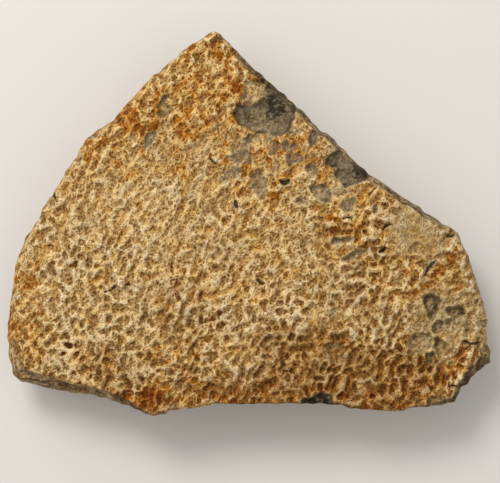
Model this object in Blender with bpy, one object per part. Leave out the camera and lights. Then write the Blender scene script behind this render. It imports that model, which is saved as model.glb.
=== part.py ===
"""A broken piece of fossil turtle shell, lying with its sculptured face up.

It is one solid of bone and the stone that fills it: a gently domed upper face covered in pits
and ridges, flakes missing here and there, broken edges all round, and a flat patch underneath.
Lengths are in millimetres until the mesh is made, which is in metres. Directions are degrees
anticlockwise from +X about the middle of the shell.
"""

import bpy
import numpy as np
from mathutils import Vector
from mathutils.geometry import delaunay_2d_cdt

NAME = "turtle_shell"
MM = 0.001
SEED = 5

# Driving dimensions
THICKNESS = 23.0  # from the flat underside to the crown of the upper face
CROWN_FALL = 2.6  # from the crown to the rim of the upper face
MIDDLE = (-1.0, -4.0)  # directions round the shell are taken from here
CROWN_AT = (-4.0, -6.0)
HALF_LENGTH = 56.0
HALF_WIDTH = 44.2
PIT_PITCH = 2.3  # between neighbouring pits of the ornament
PIT_DEPTH = 0.92
SCAR_PITCH = 2.9  # between neighbouring scars of small flakes
SCAR_DEPTH = 0.75
SWELL_ROOM = 0.6  # how far the broad swells rise above the smooth form at the crown
LIP_WIDTH = 6.0  # over which the underside turns up to its lip
REST_PATCH = (-3.0, -8.0, 33.0, 20.0)  # middle and half sizes of the flat patch underneath
FLAT_WITHIN = 0.05  # the rest patch's points are this near its plane before it is trued

# Fineness of the mesh
TOP_SPACING = 0.62
UNDERSIDE_SPACING = 3.2
OUTLINE_SPACING = 1.1
WALL_ROWS = 7
TRIANGLES = 9700

# Corners of the broken outline, anticlockwise from the tip at the far side
OUTLINE = (
    (-8.3, 44.2), (-15.2, 39.6), (-20.7, 34.8), (-24.4, 31.5), (-32.1, 22.7), (-34.6, 21.4),
    (-37.2, 19.4), (-39.2, 16.8), (-39.4, 15.3), (-41.6, 12.8), (-43.8, 8.7), (-47.1, 4.0),
    (-48.6, 0.7), (-51.9, -4.1), (-53.9, -9.6), (-55.7, -21.7), (-56.0, -26.2), (-55.8, -30.9),
    (-55.1, -33.8), (-54.2, -35.9), (-53.0, -36.9), (-42.4, -39.2), (-35.4, -39.9),
    (-25.8, -42.8), (-24.2, -43.8), (-21.9, -44.2), (-19.4, -44.0), (-18.4, -43.1),
    (-16.8, -42.7), (-11.8, -42.4), (-10.1, -41.7), (-7.5, -41.5), (12.6, -41.3),
    (20.1, -41.7), (25.7, -42.8), (32.7, -43.2), (35.8, -43.1), (37.4, -42.2), (39.9, -42.4),
    (47.1, -41.5), (48.9, -38.0), (50.4, -37.3), (50.9, -36.2), (52.9, -34.3), (56.0, -32.5),
    (55.8, -29.5), (54.9, -26.8), (54.8, -21.3), (50.3, -7.6), (47.6, -2.1), (41.4, 1.7),
    (27.6, 11.1), (24.4, 13.8), (18.4, 20.1), (15.8, 21.4), (12.8, 25.1), (-0.4, 36.8),
    (-6.9, 43.6),
)

# The broken edge: direction, width of the slope outside the rim, drop over that slope,
# how far the underside is set in, height of the lower lip, and how stepped the slope is
EDGE = (
    (5, 1.7, 5.0, 3.5, 3.0, 0.0),
    (20, 2.1, 6.0, 3.0, 3.0, 0.2),
    (60, 1.7, 6.5, 3.0, 3.0, 0.4),
    (86, 1.9, 6.5, 3.0, 3.0, 0.4),
    (101, 2.0, 5.0, 3.0, 3.0, 0.0),
    (128, 2.8, 5.0, 3.5, 3.0, 0.0),
    (152, 4.8, 5.0, 3.5, 3.5, 0.0),
    (176, 7.0, 5.5, 3.5, 4.0, 0.0),
    (199, 8.5, 7.0, 3.0, 4.0, 0.0),
    (210, 4.6, 7.5, 3.0, 4.0, 0.3),
    (219, 3.2, 7.5, 3.5, 4.0, 1.0),
    (230, 2.2, 6.0, 5.0, 4.5, 0.7),
    (243, 0.9, 2.2, 7.0, 5.0, 0.0),
    (270, 0.6, 1.6, 8.0, 5.5, 0.0),
    (300, 0.7, 1.6, 8.0, 5.5, 0.0),
    (318, 0.9, 2.2, 7.0, 5.0, 0.0),
    (328, 2.8, 6.5, 4.5, 4.0, 0.0),
    (336, 4.6, 8.0, 3.5, 3.5, 0.2),
    (342, 1.8, 6.0, 3.5, 3.0, 0.0),
)

# Where the ornament is stronger or weaker than usual: x, y, half sizes, turn, strength
ORNAMENT_ZONES = (
    (0, -7, 13, 12, 0, 0.80),
    (-25, 20, 22, 12, 45, 0.70),
    (26, -28, 26, 14, 0, 1.25),
    (-18, 6, 17, 11, 20, 0.85),
    (46, -12, 8, 9, 10, 0.70),
    (37, -3, 6, 5, 0, 0.15),
    (42.5, -23.5, 6, 7.5, 0, 0.20),
    (8, 20, 9, 11, 0, 0.60),
)
# Where scars of small flakes take the ornament's place: x, y, half sizes, turn, strength
FLAKED = (
    (8, 15, 15, 7, -15, 1.0),
    (18, 6, 7, 5, -30, 0.8),
)

# Smaller flakes and pits with flat floors: x, y, half sizes, turn, depth
FLAKES = (
    (14.7, 18.5, 1.4, 1.6, 0, 0.7),
    (17.1, 18.7, 1.3, 1.4, 0, 0.4),
    (-0.9, 14.6, 1.4, 1.7, 0, 0.8),
    (8.3, 8.9, 0.9, 1.0, 0, 1.1),
    (2.6, 8.4, 2.2, 3.0, 20, 0.6),
    (-2.2, 17.2, 2.6, 2.0, 20, 0.5),
    (-5.2, 11.0, 0.9, 2.0, 10, 0.5),
    (14.0, 12.2, 1.4, 1.5, 0, 0.7),
    (17.0, 6.4, 1.4, 2.7, 30, 0.7),
    (10.6, 14.6, 1.5, 1.3, 0, 0.5),
    (12.0, 5.2, 1.3, 1.0, 20, 0.5),
    (23.4, 4.6, 1.2, 0.8, 30, 0.5),
    (28.2, 2.8, 1.0, 1.0, 0, 0.6),
    (37.8, -5.9, 1.9, 1.1, 25, 0.7),
    (47.0, -20.2, 2.5, 1.5, -15, 0.9),
    (46.3, -23.2, 1.8, 1.5, 0, 0.45),
    (43.0, -23.9, 1.4, 1.5, 0, 0.7),
    (39.5, -27.7, 2.2, 2.8, 0, 0.7),
    (43.5, -28.2, 1.5, 1.9, 20, 0.9),
    (41.6, -31.0, 1.0, 1.6, 25, 0.9),
    (42.4, -40.6, 2.6, 1.4, 20, 1.0),
    (-19.4, 27.6, 0.9, 2.1, -30, 0.8),
    (-18.9, 24.9, 1.0, 2.0, -40, 0.8),
    (-22.4, 19.1, 1.1, 2.6, -25, 0.8),
    (-25.9, 19.2, 1.4, 1.3, 0, 0.5),
    (-11.2, 17.0, 2.8, 2.2, 30, 0.4),
    (-6.0, 9.3, 1.4, 1.0, 10, 0.5),
    (20.1, -29.7, 2.2, 2.3, 0, 0.9),
    (20.1, -20.5, 1.9, 1.6, 0, 0.6),
    (21.3, -4.1, 3.2, 0.7, 18, 0.8),
    (23.6, -7.4, 3.2, 0.7, 18, 0.8),
    (40.4, -10.8, 0.6, 2.8, -35, 0.5),
    (48.4, -7.5, 1.0, 0.7, 40, 0.6),
    (51.8, -17.4, 1.0, 0.7, 40, 0.6),
    (53.0, -22.6, 1.4, 0.9, -50, 0.6),
    (-36.2, 19.3, 1.0, 1.0, 0, 0.5),
    (-39.0, 14.5, 1.1, 0.9, 0, 0.5),
)

# Larger flakes: depth at the lower left, depth at the upper right, then the corners
LARGE_FLAKES = (
    (0.9, 0.7, ((-0.6, 32.0), (2.9, 31.3), (5.8, 28.4), (2.9, 28.0), (0.8, 26.6), (-2.3, 26.4),
                (-1.7, 29.2))),
    (2.1, 0.9, ((-3.0, 26.4), (0.8, 26.8), (2.9, 28.4), (3.2, 30.9), (4.6, 31.8), (7.4, 29.4),
                (10.4, 26.5), (9.9, 24.2), (9.7, 22.0), (7.7, 19.8), (2.9, 20.0), (0.1, 20.7),
                (-1.7, 20.5), (-3.0, 22.3))),
    (1.5, 1.6, ((17.1, 14.5), (19.2, 15.9), (21.0, 16.8), (23.6, 15.0), (27.3, 10.3), (25.4, 8.5),
                (22.0, 7.8), (19.4, 9.9), (19.0, 11.7), (17.1, 13.1))),
    (1.6, 0.9, ((39.2, -17.0), (41.0, -16.3), (43.6, -18.2), (43.4, -19.6), (41.5, -22.1),
                (40.0, -20.0))),
    (1.8, 1.2, ((11.4, -42.5), (11.8, -40.0), (14.4, -39.6), (16.7, -38.5), (18.5, -39.1),
                (20.2, -42.5))),
)

LUMP = (5.5, 18.1, 2.4, 2.3, 0, 0.55)  # x, y, half sizes, turn and height
UPPER_GRAIN = (-18, 12, 30, 17, 50)  # zone where the ridges run long, towards the tip
RIGHT_GRAIN = (28, 3, 22, 12, -20)  # zone where they run along the right edge
UPPER_TURN, RIGHT_TURN = np.radians(60), np.radians(28)

# Relief map: cells over the whole outline, a little beyond it
CELL = 0.25
MAP_COLUMNS, MAP_ROWS = 480, 384
ACROSS = (np.arange(MAP_COLUMNS) - MAP_COLUMNS / 2 + 0.5) * CELL
ALONG = (np.arange(MAP_ROWS) - MAP_ROWS / 2 + 0.5) * CELL


def smooth_step(t):
    t = np.clip(t, 0, 1)
    return t * t * (3 - 2 * t)


def blurred(field, size):
    """The map with detail under about this size removed."""
    waves_x = 2 * np.pi * np.fft.rfftfreq(MAP_COLUMNS, CELL)[None, :]
    waves_y = 2 * np.pi * np.fft.fftfreq(MAP_ROWS, CELL)[:, None]
    fade = np.exp(-(waves_x**2 + waves_y**2) * (size / 5) ** 2)
    return np.fft.irfft2(np.fft.rfft2(field) * fade, s=(MAP_ROWS, MAP_COLUMNS))


def rolling(rng, size):
    """Random rises and dips about this far apart, with a spread of one."""
    field = blurred(rng.normal(size=(MAP_ROWS, MAP_COLUMNS)), size)
    return field / field.std()


def patch(x, y, zone, softness=0.9):
    """One inside the oval zone and nothing outside it."""
    middle_x, middle_y, half_x, half_y, turn = zone
    turn = np.radians(turn)
    off_x, off_y = x - middle_x, y - middle_y
    along = (off_x * np.cos(turn) + off_y * np.sin(turn)) / half_x
    across = (off_y * np.cos(turn) - off_x * np.sin(turn)) / half_y
    return smooth_step((1 + softness / 2 - np.hypot(along, across)) / softness)


def depth_inside(corners, x, y):
    """Distance to the polygon's edge, positive inside it."""
    corners = np.asarray(corners, float)
    nearest = np.full(np.shape(x), 1e9)
    inside = np.zeros(np.shape(x), bool)
    for (ax, ay), (bx, by) in zip(corners, np.roll(corners, -1, axis=0)):
        run_x, run_y = bx - ax, by - ay
        share = np.clip(((x - ax) * run_x + (y - ay) * run_y) / (run_x**2 + run_y**2), 0, 1)
        nearest = np.minimum(nearest, np.hypot(x - ax - share * run_x, y - ay - share * run_y))
        if ay != by:
            inside ^= ((ay > y) != (by > y)) & (x < (bx - ax) * (y - ay) / (by - ay) + ax)
    return np.where(inside, nearest, -nearest)


def pits(rng, x, y):
    """The ornament: one at the floor of a pit, nothing on the ridges.

    Each pit is a short groove that starts at a shaken lattice point. Where the ridges run
    long, many are joined to the next pit along the grain, and share its group.
    """
    row_gap = PIT_PITCH * np.sqrt(3) / 2
    rows = int(MAP_ROWS * CELL * 1.25 / row_gap)
    columns = int(MAP_COLUMNS * CELL * 1.25 / PIT_PITCH)
    row, column = np.mgrid[0:rows, 0:columns]
    shake = rng.uniform(-0.24, 0.24, (2, rows, columns)) * PIT_PITCH
    start_x = (column - columns / 2 + 0.5 * (row % 2)) * PIT_PITCH + shake[0]
    start_y = (row - rows / 2) * row_gap + shake[1]
    upper = patch(start_x, start_y, UPPER_GRAIN)
    right = patch(start_x, start_y, RIGHT_GRAIN)
    grain = np.where(right > upper, RIGHT_TURN, UPPER_TURN) + rng.normal(0, 0.45, row.shape)
    joined = rng.random(row.shape) < 0.36 + 0.30 * upper + 0.28 * right

    stub = rng.uniform(0, 0.35, row.shape) * PIT_PITCH
    end_x = start_x + stub * np.cos(grain)
    end_y = start_y + stub * np.sin(grain)
    group = np.arange(row.size).reshape(row.shape)
    number = group.copy()
    best = np.full(row.shape, -9.0)
    odd = row % 2
    neighbours = ((0, 1), (0, -1), (1, odd - 1), (1, odd), (-1, odd - 1), (-1, odd))
    for step_row, step_column in neighbours:
        near_row = np.clip(row + step_row, 0, rows - 1)
        near_column = np.clip(column + step_column, 0, columns - 1)
        to_x = start_x[near_row, near_column]
        to_y = start_y[near_row, near_column]
        length = np.hypot(to_x - start_x, to_y - start_y) + 1e-6
        turn_x = (to_x - start_x) / length * np.cos(grain)
        turn_y = (to_y - start_y) / length * np.sin(grain)
        match = turn_x + turn_y - 0.25 * length / PIT_PITCH
        take = joined & (match > best)
        best = np.where(take, match, best)
        end_x = np.where(take, to_x, end_x)
        end_y = np.where(take, to_y, end_y)
        group = np.where(take, number[near_row, near_column], group)
    group = group.ravel()
    for _ in range(4):
        group = group[group]
    group = np.minimum(group, group[group]).reshape(row.shape)

    radius = PIT_PITCH * rng.uniform(0.28, 0.44, row.shape)
    faint = np.where(rng.random(row.shape) < 0.06, 0.25, 1.0)
    depth = rng.uniform(0.7, 1.0, row.shape) * faint

    home_row = np.clip(np.round(y / row_gap + rows / 2).astype(int), 2, rows - 3)
    home_column = np.round(x / PIT_PITCH + columns / 2 - 0.5 * (home_row % 2)).astype(int)
    home_column = np.clip(home_column, 2, columns - 3)
    nearest = np.full(x.shape, 9.0)
    next_group = np.full(x.shape, 9.0)
    owner = np.full(x.shape, -1)
    floor = np.zeros(x.shape)
    for step_row in range(-2, 3):
        for step_column in range(-2, 3):
            at = (home_row + step_row, home_column + step_column)
            run_x, run_y = end_x[at] - start_x[at], end_y[at] - start_y[at]
            off_x, off_y = x - start_x[at], y - start_y[at]
            share = (off_x * run_x + off_y * run_y) / (run_x**2 + run_y**2 + 1e-9)
            share = np.clip(share, 0, 1)
            away = np.hypot(off_x - share * run_x, off_y - share * run_y) / radius[at]
            other = group[at] != owner
            closer = away < nearest
            pushed = np.where(closer, nearest, np.minimum(next_group, away))
            next_group = np.where(other, pushed, next_group)
            floor = np.where(closer, depth[at], floor)
            owner = np.where(closer, group[at], owner)
            nearest = np.minimum(nearest, away)
    bowl = smooth_step((1.3 - nearest) / 1.15) * smooth_step((next_group - nearest) / 0.7)
    return bowl * floor


def scars(rng, x, y):
    """Scars of small flakes, side by side: depth, deepest along one side, and a chance value each."""
    rows = int(MAP_ROWS * CELL / SCAR_PITCH) + 6
    columns = int(MAP_COLUMNS * CELL / SCAR_PITCH) + 6
    row, column = np.mgrid[0:rows, 0:columns]
    shake = rng.uniform(-0.48, 0.48, (2, rows, columns))
    middle_x = (column + shake[0] - columns / 2) * SCAR_PITCH
    middle_y = (row + shake[1] - rows / 2) * SCAR_PITCH
    reach = rng.uniform(0.75, 1.5, row.shape)
    chance = rng.random(row.shape)
    lean = rng.uniform(0, 2 * np.pi, row.shape)
    home_row = np.clip(np.round(y / SCAR_PITCH + rows / 2).astype(int), 2, rows - 3)
    home_column = np.clip(np.round(x / SCAR_PITCH + columns / 2).astype(int), 2, columns - 3)
    nearest, second = np.full(x.shape, 9.0), np.full(x.shape, 9.0)
    slant, value = np.zeros(x.shape), np.zeros(x.shape)
    for step_row in range(-2, 3):
        for step_column in range(-2, 3):
            at = (home_row + step_row, home_column + step_column)
            off_x, off_y = x - middle_x[at], y - middle_y[at]
            away = np.hypot(off_x, off_y) / (reach[at] * SCAR_PITCH)
            closer = away < nearest
            second = np.where(closer, nearest, np.minimum(second, away))
            down = (off_x * np.cos(lean[at]) + off_y * np.sin(lean[at])) / (reach[at] * SCAR_PITCH)
            slant = np.where(closer, down, slant)
            value = np.where(closer, chance[at], value)
            nearest = np.minimum(nearest, away)
    inside = smooth_step((second - nearest) / 0.15)
    return inside * np.clip(0.55 + 1.1 * slant, 0, 1), value


def flaking(x, y):
    """How far small flakes take the ornament's place: one at the middle of the flaked zones."""
    amount = np.zeros(x.shape)
    for *zone, strength in FLAKED:
        amount = np.maximum(amount, strength * patch(x, y, zone, 1.1))
    return amount


def relief_map():
    """Height of the upper face's detail above its smooth form, over the whole map."""
    rng = np.random.default_rng(SEED)
    x, y = np.meshgrid(ACROSS, ALONG)
    bend_x = 0.5 * rolling(rng, 9) + 0.26 * rolling(rng, 2.6)
    bend_y = 0.5 * rolling(rng, 9) + 0.26 * rolling(rng, 2.6)
    ornament = blurred(pits(rng, x + bend_x, y + bend_y), 1.0)

    strength = 0.85 + 0.18 * rolling(rng, 10)
    for *zone, amount in ORNAMENT_ZONES:
        inside = patch(x, y, zone)
        strength = strength * (1 - inside) + strength * amount * inside
    swells = 0.40 * rolling(rng, 22) + 0.16 * rolling(rng, 6)

    ragged_x, ragged_y = x + 0.25 * rolling(rng, 2), y + 0.25 * rolling(rng, 2)
    torn_x, torn_y = ragged_x + 0.35 * rolling(rng, 5), ragged_y + 0.35 * rolling(rng, 5)
    cut = np.zeros(x.shape)
    for *zone, depth in FLAKES:
        cut = np.maximum(cut, depth * patch(torn_x, torn_y, zone, 0.45))
    for low_depth, high_depth, corners in LARGE_FLAKES:
        side = smooth_step((x + y - min(a + b for a, b in corners)) / 14)
        inside = smooth_step(depth_inside(corners, ragged_x, ragged_y) / 0.6 + 0.5)
        cut = np.maximum(cut, inside * (low_depth + (high_depth - low_depth) * side))
    flaked = flaking(x, y)
    scar_x = x + 0.6 * bend_x + 0.45 * rolling(rng, 2.4)
    scar_y = y + 0.6 * bend_y + 0.45 * rolling(rng, 2.4)
    scar, chance = scars(rng, scar_x, scar_y)
    scar = scar * smooth_step((flaked - 0.9 * chance) / 0.15)
    cut = np.maximum(cut, SCAR_DEPTH * scar * (0.5 + 0.5 * np.sin(40 * chance) ** 2))
    whole = 1 - smooth_step(cut / 0.35)
    raised = LUMP[-1] * patch(x, y, LUMP[:-1], 0.8)
    carved = PIT_DEPTH * strength * ornament * (1 - 0.6 * flaked) * whole
    return swells + raised - cut - carved


def read_map(field, x, y):
    column = np.clip((x - ACROSS[0]) / CELL, 0, MAP_COLUMNS - 1.001)
    row = np.clip((y - ALONG[0]) / CELL, 0, MAP_ROWS - 1.001)
    left, low = column.astype(int), row.astype(int)
    right_share, up_share = column - left, row - low
    lower = field[low, left] * (1 - right_share) + field[low, left + 1] * right_share
    upper = field[low + 1, left] * (1 - right_share) + field[low + 1, left + 1] * right_share
    return lower * (1 - up_share) + upper * up_share


def edge_at(x, y):
    """The broken edge's five measures in the direction of each point."""
    direction = np.degrees(np.arctan2(y - MIDDLE[1], x - MIDDLE[0]))
    table = np.array(EDGE, float)
    return [np.interp(direction, table[:, 0], table[:, i], period=360) for i in range(1, 6)]


def outline(spacing):
    """The broken outline as even points: corners joined, rounded a little and roughened."""
    corners = np.array(OUTLINE + OUTLINE[:1])
    lengths = np.hypot(*np.diff(corners, axis=0).T)
    travelled = np.concatenate([[0], np.cumsum(lengths)])
    count = int(travelled[-1] / spacing)
    where = np.arange(count) * travelled[-1] / count
    points = np.column_stack([np.interp(where, travelled, corners[:, i]) for i in (0, 1)])
    frequency = np.fft.fftfreq(count, spacing)[:, None]
    rounding = np.exp(-0.5 * (2 * np.pi * frequency * 0.55) ** 2)
    points = np.real(np.fft.ifft(np.fft.fft(points, axis=0) * rounding, axis=0))
    heading = np.roll(points, -1, axis=0) - np.roll(points, 1, axis=0)
    outward = np.column_stack([heading[:, 1], -heading[:, 0]])
    outward /= np.hypot(*outward.T)[:, None]
    rng = np.random.default_rng(SEED)
    turn = 2 * np.pi * where / travelled[-1]
    rough = np.zeros(count)
    for waves in range(24, 132, 4):
        rough += np.sin(waves * turn + rng.uniform(0, 2 * np.pi)) / 40
    return points + outward * (rough[:, None] - 0.1)


def slope(t, stepped):
    """Share of the drop at t of the way in from the outline: rounded, or with a ledge."""
    t = np.clip(t, 0, 1)
    rounded = 1 - np.sqrt(1 - (1 - t) ** 2)
    ledge = 0.75 * smooth_step((0.95 - t) / 0.4) + 0.25 * smooth_step((0.3 - t) / 0.3)
    return rounded * (1 - stepped) + ledge * stepped


def upper_height(x, y, inset, relief):
    width, drop, _, _, stepped = edge_at(x, y)
    far = np.hypot((x - CROWN_AT[0]) / HALF_LENGTH, (y - CROWN_AT[1]) / HALF_WIDTH)
    form = THICKNESS - SWELL_ROOM - CROWN_FALL * far**2 - drop * slope(inset / width, stepped)
    return form + relief * smooth_step((inset - 0.3 * width) / (0.6 * width) + 0.35)


def under_height(x, y, inset, rolls):
    """Zero on the rest patch, hollow round it and up to the lower lip at the outline."""
    lip = edge_at(x, y)[3]
    off = 1 - patch(x, y, REST_PATCH + (0,), 0.5)
    hollow = off * np.clip(0.7 + 0.5 * read_map(rolls, x, y), 0.1, 2)
    return hollow + (lip - hollow) * slope(inset / LIP_WIDTH, 0)


def sheet(ring, spacing):
    """Flat triangles that fill the ring: points, triangles and the ring's places in them."""
    low, high = ring.min(axis=0), ring.max(axis=0)
    row_gap = spacing * np.sqrt(3) / 2
    rows = int((high[1] - low[1]) / row_gap) + 1
    columns = int((high[0] - low[0]) / spacing) + 1
    row, column = np.mgrid[0:rows, 0:columns]
    x = (low[0] + (column + 0.5 * (row % 2)) * spacing).ravel()
    y = (low[1] + row * row_gap).ravel()
    keep = depth_inside(ring, x, y) > 0.6 * spacing
    points = np.concatenate([ring, np.column_stack([x[keep], y[keep]])])
    rim = [(i, (i + 1) % len(ring)) for i in range(len(ring))]
    made, _, faces, sources, _, _ = delaunay_2d_cdt([Vector(p) for p in points], rim, [], 1, 1e-5)
    place = {source: i for i, found in enumerate(sources) for source in found}
    return np.array([tuple(p) for p in made]), faces, [place[i] for i in range(len(ring))]


def shell_mesh():
    """The closed surface: the upper face, rings down the broken edge, and the underside."""
    relief = relief_map()
    rng = np.random.default_rng(SEED + 1)
    rolls = rolling(rng, 9)
    rim = outline(OUTLINE_SPACING)
    middle = np.array(MIDDLE)
    reach = np.hypot(*(rim - middle).T)
    set_in = edge_at(*rim.T)[2]
    foot = middle + (rim - middle) * (1 - set_in / reach)[:, None]

    top, top_faces, top_ring = sheet(rim, TOP_SPACING)
    inset = np.maximum(depth_inside(rim, *top.T), 0)
    top_z = upper_height(*top.T, inset, read_map(relief, *top.T))
    base, base_faces, base_ring = sheet(foot, UNDERSIDE_SPACING)
    base_inset = np.maximum(depth_inside(foot, *base.T), 0)
    base_z = under_height(*base.T, base_inset, rolls)

    points = [np.column_stack([top, top_z])]
    rings = [np.array(top_ring)]
    filled = len(top)
    turn = np.arctan2(*(rim - middle).T[::-1])
    phases = rng.uniform(0, 2 * np.pi, (6, 2))
    for i in range(1, WALL_ROWS):
        down = i / WALL_ROWS
        ripple = np.zeros(len(rim))
        for k, (shift, lean) in enumerate(phases):
            ripple += np.sin((7 + 9 * k) * turn + shift + (2 + k) * 2.2 * down + lean) / (1.5 + k)
        rough = 0.45 * (1.2 + ripple) * np.sin(np.pi * down)
        ledge = 0.7 * (i % 3 == 1) * (0.5 + 0.5 * np.sin(5 * turn + phases[0, 0]))
        in_here = set_in * down**1.6 + np.maximum(rough, 0) + ledge
        ring = middle + (rim - middle) * (1 - in_here / reach)[:, None]
        height = top_z[top_ring] * (1 - down) + base_z[base_ring] * down
        points.append(np.column_stack([ring, height]))
        rings.append(filled + np.arange(len(rim)))
        filled += len(rim)
    points.append(np.column_stack([base, base_z]))
    rings.append(filled + np.array(base_ring))

    faces = [tuple(face) for face in top_faces]
    for upper, lower in zip(rings, rings[1:]):
        for a, b, c, d in zip(upper, np.roll(upper, -1), lower, np.roll(lower, -1)):
            faces += [(a, c, b), (b, c, d)]
    faces += [tuple(filled + i for i in reversed(face)) for face in base_faces]
    return np.concatenate(points), faces


def stone_material():
    material = bpy.data.materials.new("fossil_bone")
    material.use_nodes = True
    shader = material.node_tree.nodes["Principled BSDF"]
    shader.inputs["Base Color"].default_value = (0.40, 0.26, 0.11, 1)
    shader.inputs["Roughness"].default_value = 0.85
    shader.inputs["Metallic"].default_value = 0.0
    return material


def thinned(mesh, ratio):
    """A copy of the mesh with this share of its triangles, kept where the surface turns most."""
    cage = bpy.data.objects.new("shell_before_thinning", mesh)
    bpy.context.scene.collection.objects.link(cage)
    thin = cage.modifiers.new("fewer_triangles", "DECIMATE")
    thin.ratio = ratio
    thin.use_collapse_triangulate = True
    graph = bpy.context.evaluated_depsgraph_get()
    fewer = bpy.data.meshes.new_from_object(cage.evaluated_get(graph))
    bpy.data.objects.remove(cage)
    return fewer


def true_up(mesh):
    """Flattens the rest patch on z = 0 and centres the shell over the origin."""
    points = np.empty(len(mesh.vertices) * 3)
    mesh.vertices.foreach_get("co", points)
    points = points.reshape(-1, 3)
    points[:, :2] -= (points[:, :2].min(axis=0) + points[:, :2].max(axis=0)) / 2
    points[np.abs(points[:, 2]) < FLAT_WITHIN * MM, 2] = 0
    mesh.vertices.foreach_set("co", points.ravel())
    mesh.update()


def build():
    for old in list(bpy.data.objects):
        bpy.data.objects.remove(old)
    points, faces = shell_mesh()
    fine = bpy.data.meshes.new("fine_shell")
    fine.from_pydata((points * MM).tolist(), [], [tuple(map(int, face)) for face in faces])
    mesh = thinned(fine, TRIANGLES / len(faces))
    true_up(mesh)
    mesh.name = NAME
    mesh.materials.append(stone_material())
    shell = bpy.data.objects.new(NAME, mesh)
    collection = bpy.data.collections.new("fossil_turtle_shell")
    bpy.context.scene.collection.children.link(collection)
    collection.objects.link(shell)


build()
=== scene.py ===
"""The looks of a broken piece of fossil turtle shell: fine surface, finish, floor and light.

The shell is one mesh, made from the same form as the solid that it replaces, with every pit,
ridge, flake and crack cut into it. Lengths are in millimetres until a mesh is made, which is in
metres. Directions are degrees anticlockwise from +X about the middle of the shell.
"""

import bpy
import numpy as np
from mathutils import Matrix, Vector, noise
from mathutils.geometry import delaunay_2d_cdt


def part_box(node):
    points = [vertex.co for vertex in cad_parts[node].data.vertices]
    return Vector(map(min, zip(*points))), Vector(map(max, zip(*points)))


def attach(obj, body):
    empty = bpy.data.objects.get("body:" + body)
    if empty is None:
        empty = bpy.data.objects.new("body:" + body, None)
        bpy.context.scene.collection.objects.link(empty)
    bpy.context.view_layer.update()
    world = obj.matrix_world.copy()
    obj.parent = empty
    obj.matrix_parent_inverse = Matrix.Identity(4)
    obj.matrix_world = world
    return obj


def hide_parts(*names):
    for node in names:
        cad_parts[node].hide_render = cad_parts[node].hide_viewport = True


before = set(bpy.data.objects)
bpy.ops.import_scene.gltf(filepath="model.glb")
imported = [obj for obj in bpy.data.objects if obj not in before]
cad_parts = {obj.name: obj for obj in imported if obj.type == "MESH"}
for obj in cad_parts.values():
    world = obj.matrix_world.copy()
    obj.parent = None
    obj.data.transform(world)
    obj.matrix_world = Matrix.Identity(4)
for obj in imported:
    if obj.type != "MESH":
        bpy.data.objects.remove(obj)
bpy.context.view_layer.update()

LOW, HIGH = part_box("turtle_shell")
LENGTH = HIGH.x - LOW.x

MM = 0.001
SEED = 5

# The form, as the solid has it
THICKNESS = 23.0
CROWN_FALL = 2.6
MIDDLE = (-1.0, -4.0)
CROWN_AT = (-4.0, -6.0)
HALF_LENGTH = 56.0
HALF_WIDTH = 44.2
PIT_PITCH = 2.3
PIT_DEPTH = 0.85
PIT_ROUNDING = 0.65
SCAR_PITCH = 2.9  # small flakes in the flaked zone
SCAR_DEPTH = 0.75
WALL_SHADE_CELLS = 3  # how far from a flake's wall the painted shade at its foot reaches, in cells of the relief map
SWELL_ROOM = 0.6
LIP_WIDTH = 6.0
REST_PATCH = (-3.0, -8.0, 33.0, 20.0)
WALL_CURVE = 1.6  # how late the broken edge draws in on its way down
TEAR_LOW, TEAR_HIGH = 0.35, 1.9

# Fineness of the mesh
TOP_SPACING = 0.33
UNDERSIDE_SPACING = 1.3
OUTLINE_SPACING = 0.5
WALL_ROWS = 26

# Corners of the broken outline, anticlockwise from the tip at the far side
OUTLINE = (
    (-8.3, 44.2), (-15.2, 39.6), (-20.7, 34.8), (-24.4, 31.5), (-32.1, 22.7), (-34.6, 21.4),
    (-37.2, 19.4), (-39.2, 16.8), (-39.4, 15.3), (-41.6, 12.8), (-43.8, 8.7), (-47.1, 4.0),
    (-48.6, 0.7), (-51.9, -4.1), (-53.9, -9.6), (-55.7, -21.7), (-56.0, -26.2), (-55.8, -30.9),
    (-55.1, -33.8), (-54.2, -35.9), (-53.0, -36.9), (-42.4, -39.2), (-35.4, -39.9),
    (-25.8, -42.8), (-24.2, -43.8), (-21.9, -44.2), (-19.4, -44.0), (-18.4, -43.1),
    (-16.8, -42.7), (-11.8, -42.4), (-10.1, -41.7), (-7.5, -41.5), (12.6, -41.3),
    (20.1, -41.7), (25.7, -42.8), (32.7, -43.2), (35.8, -43.1), (37.4, -42.2), (39.9, -42.4),
    (47.1, -41.5), (48.9, -38.0), (50.4, -37.3), (50.9, -36.2), (52.9, -34.3), (56.0, -32.5),
    (55.8, -29.5), (54.9, -26.8), (54.8, -21.3), (50.3, -7.6), (47.6, -2.1), (41.4, 1.7),
    (27.6, 11.1), (24.4, 13.8), (18.4, 20.1), (15.8, 21.4), (12.8, 25.1), (-0.4, 36.8),
    (-6.9, 43.6),
)

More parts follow.
